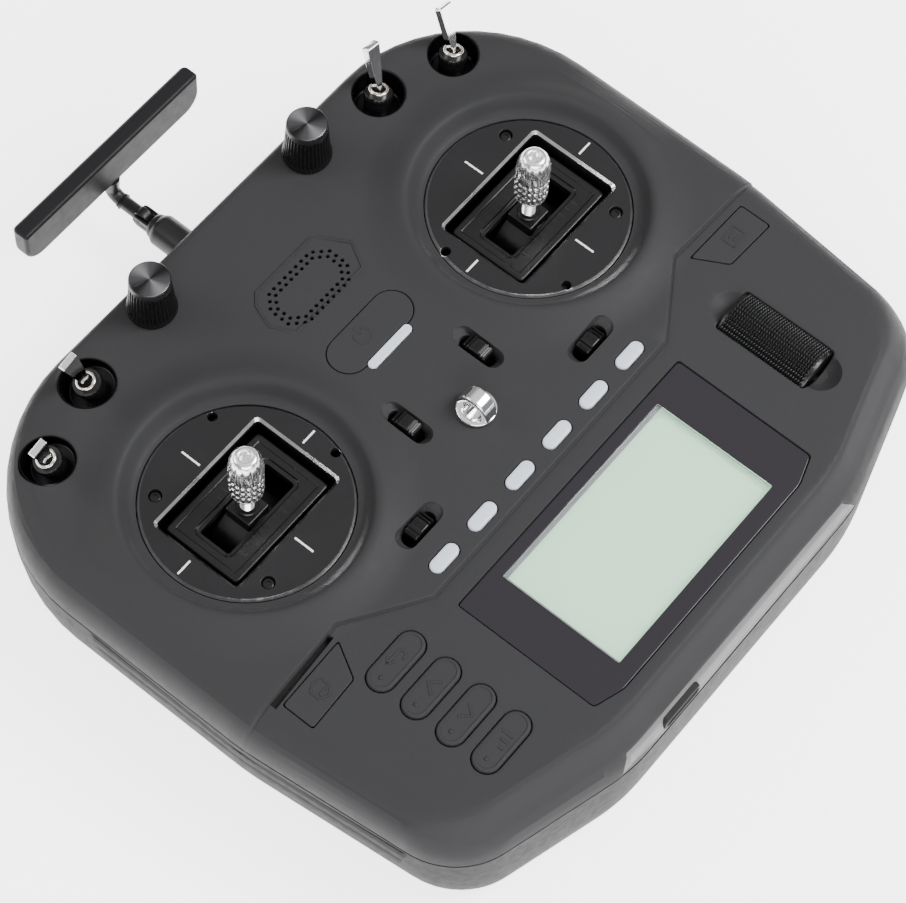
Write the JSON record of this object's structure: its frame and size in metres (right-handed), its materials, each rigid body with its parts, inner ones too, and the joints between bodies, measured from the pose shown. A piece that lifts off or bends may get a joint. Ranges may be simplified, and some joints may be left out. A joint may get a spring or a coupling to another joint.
{
  "type": "radio transmitter controller",
  "caption": "Handheld radio control transmitter with two centred sticks, toggle switches, dials, trim rockers, keys, a screen, a scroll wheel and a folding antenna.",
  "frame": {"origin": "on the flat rear cover that the case rests on, midway between the sides", "axes": "+Z out of the face, +Y towards the back edge with the antenna, +X to the user's right"},
  "size_m": [0.2348, 0.2435, 0.0729],
  "materials": {
    "case_plastic": "matte, fine texture",
    "grip_plastic": "matte",
    "strip_plastic": "matte, coarse texture",
    "black_plastic": "satin",
    "black_anodised": "black anodised, satin",
    "chrome": "polished",
    "stick_alloy": "bright turned",
    "lens_plastic": "glossy, tinted",
    "display": "smooth",
    "light_plastic": "translucent, satin",
    "board": "solder mask",
    "cell_wrap": "shrink wrap"
  },
  "bodies": {
    "case": {"top_shell": "case_plastic", "bottom_shell": "case_plastic", "front_strip": "strip_plastic", "left_side_grip": "grip_plastic", "right_side_grip": "grip_plastic", "screen_lens": "lens_plastic", "display_panel": "display", "main_board": "board", "speaker": "black_plastic", "battery": "cell_wrap", "battery_door": "case_plastic", "module_bay_cover": "case_plastic", "left_gimbal_frame": "black_plastic", "left_gimbal_plate": "black_anodised", "right_gimbal_frame": "black_plastic", "right_gimbal_plate": "black_anodised", "left_dial_body": "black_anodised", "right_dial_body": "black_anodised", "scroll_wheel_axle": "black_anodised", "power_light_bar": "light_plastic", "strap_eyelet": "chrome", "left_outer_switch_body": "chrome", "left_inner_switch_body": "chrome", "right_inner_switch_body": "chrome", "right_outer_switch_body": "chrome"},
    "left_cradle": {"left_gimbal_cradle": "black_plastic"},
    "left_stick": {"left_stick": "black_plastic", "left_stick_end": "stick_alloy"},
    "right_cradle": {"right_gimbal_cradle": "black_plastic"},
    "right_stick": {"right_stick": "black_plastic", "right_stick_end": "stick_alloy"},
    "left_outer_lever": {"left_outer_switch_lever": "chrome"},
    "left_inner_lever": {"left_inner_switch_lever": "chrome"},
    "right_inner_lever": {"right_inner_switch_lever": "chrome"},
    "right_outer_lever": {"right_outer_switch_lever": "chrome"},
    "left_dial": {"left_dial_knob": "black_plastic"},
    "right_dial": {"right_dial_knob": "black_plastic"},
    "scroll_roller": {"scroll_wheel": "black_plastic"},
    "antenna_base": {"antenna_barrel": "black_plastic"},
    "antenna": {"antenna_arm": "black_plastic", "antenna_bar": "black_plastic"},
    "left_vertical_trim": {"left_vertical_trim": "black_plastic"},
    "right_vertical_trim": {"right_vertical_trim": "black_plastic"},
    "left_horizontal_trim": {"left_horizontal_trim": "black_plastic"},
    "right_horizontal_trim": {"right_horizontal_trim": "black_plastic"},
    "power_button": {"power_button": "case_plastic"},
    "system_key": {"system_key": "case_plastic"},
    "model_key": {"model_key": "case_plastic"},
    "return_key": {"return_key": "case_plastic"},
    "page_up_key": {"page_up_key": "case_plastic"},
    "page_down_key": {"page_down_key": "case_plastic"},
    "telemetry_key": {"telemetry_key": "case_plastic"},
    "function_key_1": {"function_key_1": "light_plastic"},
    "function_key_2": {"function_key_2": "light_plastic"},
    "function_key_3": {"function_key_3": "light_plastic"},
    "function_key_4": {"function_key_4": "light_plastic"},
    "function_key_5": {"function_key_5": "light_plastic"},
    "function_key_6": {"function_key_6": "light_plastic"}
  },
  "joints": [
    {"name": "left_stick_fore_aft", "type": "hinge", "parent": "case", "child": "left_cradle", "pos_m": [-0.0636, 0.0289, 0.026], "axis": [1, 0, 0], "range_deg": [-22, 22], "stiffness_Nm_per_rad": 0.08},
    {"name": "left_stick_sideways", "type": "hinge", "parent": "left_cradle", "child": "left_stick", "pos_m": [-0.0636, 0.0289, 0.026], "axis": [0, 1, 0], "range_deg": [-22, 22], "stiffness_Nm_per_rad": 0.08},
    {"name": "right_stick_fore_aft", "type": "hinge", "parent": "case", "child": "right_cradle", "pos_m": [0.0636, 0.0289, 0.026], "axis": [1, 0, 0], "range_deg": [-22, 22], "stiffness_Nm_per_rad": 0.08},
    {"name": "right_stick_sideways", "type": "hinge", "parent": "right_cradle", "child": "right_stick", "pos_m": [0.0636, 0.0289, 0.026], "axis": [0, 1, 0], "range_deg": [-22, 22], "stiffness_Nm_per_rad": 0.08},
    {"name": "left_outer_switch", "type": "hinge", "parent": "case", "child": "left_outer_lever", "pos_m": [-0.0904, 0.0795, 0.0468], "axis": [0.9659, 0, 0.2588], "range_deg": [-28, 0]},
    {"name": "left_inner_switch", "type": "hinge", "parent": "case", "child": "left_inner_lever", "pos_m": [-0.0649, 0.0876, 0.0468], "axis": [0.9659, 0, 0.2588], "range_deg": [-16, 16]},
    {"name": "right_inner_switch", "type": "hinge", "parent": "case", "child": "right_inner_lever", "pos_m": [0.0649, 0.0876, 0.0468], "axis": [0.9659, 0, -0.2588], "range_deg": [0, 32]},
    {"name": "right_outer_switch", "type": "hinge", "parent": "case", "child": "right_outer_lever", "pos_m": [0.0904, 0.0795, 0.0468], "axis": [0.9659, 0, -0.2588], "range_deg": [0, 40]},
    {"name": "left_dial_turn", "type": "hinge", "parent": "case", "child": "left_dial", "pos_m": [-0.0345, 0.0899, 0.05], "axis": [0, 0, 1], "range_deg": [-150, 150]},
    {"name": "right_dial_turn", "type": "hinge", "parent": "case", "child": "right_dial", "pos_m": [0.0345, 0.0899, 0.05], "axis": [0, 0, 1], "range_deg": [-150, 150]},
    {"name": "scroll_turn", "type": "hinge", "parent": "case", "child": "scroll_roller", "pos_m": [0.0742, -0.0536, 0.0389], "axis": [0, 1, 0], "continuous": true},
    {"name": "antenna_swivel", "type": "hinge", "parent": "case", "child": "antenna_base", "pos_m": [0, 0.101, 0.0165], "axis": [0, 1, 0], "range_deg": [-90, 90]},
    {"name": "antenna_fold", "type": "hinge", "parent": "antenna_base", "child": "antenna", "pos_m": [0, 0.1255, 0.0165], "axis": [1, 0, 0], "range_deg": [-50, 45]},
    {"name": "left_vertical_trim_rock", "type": "hinge", "parent": "case", "child": "left_vertical_trim", "pos_m": [-0.0161, 0.0101, 0.0399], "axis": [1, 0, 0], "range_deg": [-8, 8], "stiffness_Nm_per_rad": 0.02},
    {"name": "right_vertical_trim_rock", "type": "hinge", "parent": "case", "child": "right_vertical_trim", "pos_m": [0.0161, 0.0101, 0.0399], "axis": [1, 0, 0], "range_deg": [-8, 8], "stiffness_Nm_per_rad": 0.02},
    {"name": "left_horizontal_trim_rock", "type": "hinge", "parent": "case", "child": "left_horizontal_trim", "pos_m": [-0.039, -0.0131, 0.0399], "axis": [0, 1, 0], "range_deg": [-8, 8], "stiffness_Nm_per_rad": 0.02},
    {"name": "right_horizontal_trim_rock", "type": "hinge", "parent": "case", "child": "right_horizontal_trim", "pos_m": [0.039, -0.0131, 0.0399], "axis": [0, 1, 0], "range_deg": [-8, 8], "stiffness_Nm_per_rad": 0.02},
    {"name": "power_button_press", "type": "slide", "parent": "case", "child": "power_button", "axis": [0, 0, -1], "range_m": [0, 0.0007], "stiffness_N_per_m": 300},
    {"name": "system_key_press", "type": "slide", "parent": "case", "child": "system_key", "axis": [0, 0, -1], "range_m": [0, 0.0006], "stiffness_N_per_m": 300},
    {"name": "model_key_press", "type": "slide", "parent": "case", "child": "model_key", "axis": [0, 0, -1], "range_m": [0, 0.0006], "stiffness_N_per_m": 300},
    {"name": "return_key_press", "type": "slide", "parent": "case", "child": "return_key", "axis": [0, 0, -1], "range_m": [0, 0.0008], "stiffness_N_per_m": 300},
    {"name": "page_up_key_press", "type": "slide", "parent": "case", "child": "page_up_key", "axis": [0, 0, -1], "range_m": [0, 0.0008], "stiffness_N_per_m": 300},
    {"name": "page_down_key_press", "type": "slide", "parent": "case", "child": "page_down_key", "axis": [0, 0, -1], "range_m": [0, 0.0008], "stiffness_N_per_m": 300},
    {"name": "telemetry_key_press", "type": "slide", "parent": "case", "child": "telemetry_key", "axis": [0, 0, -1], "range_m": [0, 0.0008], "stiffness_N_per_m": 300},
    {"name": "function_key_1_press", "type": "slide", "parent": "case", "child": "function_key_1", "axis": [0, 0, -1], "range_m": [0, 0.0008], "stiffness_N_per_m": 300},
    {"name": "function_key_2_press", "type": "slide", "parent": "case", "child": "function_key_2", "axis": [0, 0, -1], "range_m": [0, 0.0008], "stiffness_N_per_m": 300},
    {"name": "function_key_3_press", "type": "slide", "parent": "case", "child": "function_key_3", "axis": [0, 0, -1], "range_m": [0, 0.0008], "stiffness_N_per_m": 300},
    {"name": "function_key_4_press", "type": "slide", "parent": "case", "child": "function_key_4", "axis": [0, 0, -1], "range_m": [0, 0.0008], "stiffness_N_per_m": 300},
    {"name": "function_key_5_press", "type": "slide", "parent": "case", "child": "function_key_5", "axis": [0, 0, -1], "range_m": [0, 0.0008], "stiffness_N_per_m": 300},
    {"name": "function_key_6_press", "type": "slide", "parent": "case", "child": "function_key_6", "axis": [0, 0, -1], "range_m": [0, 0.0008], "stiffness_N_per_m": 300}
  ]
}
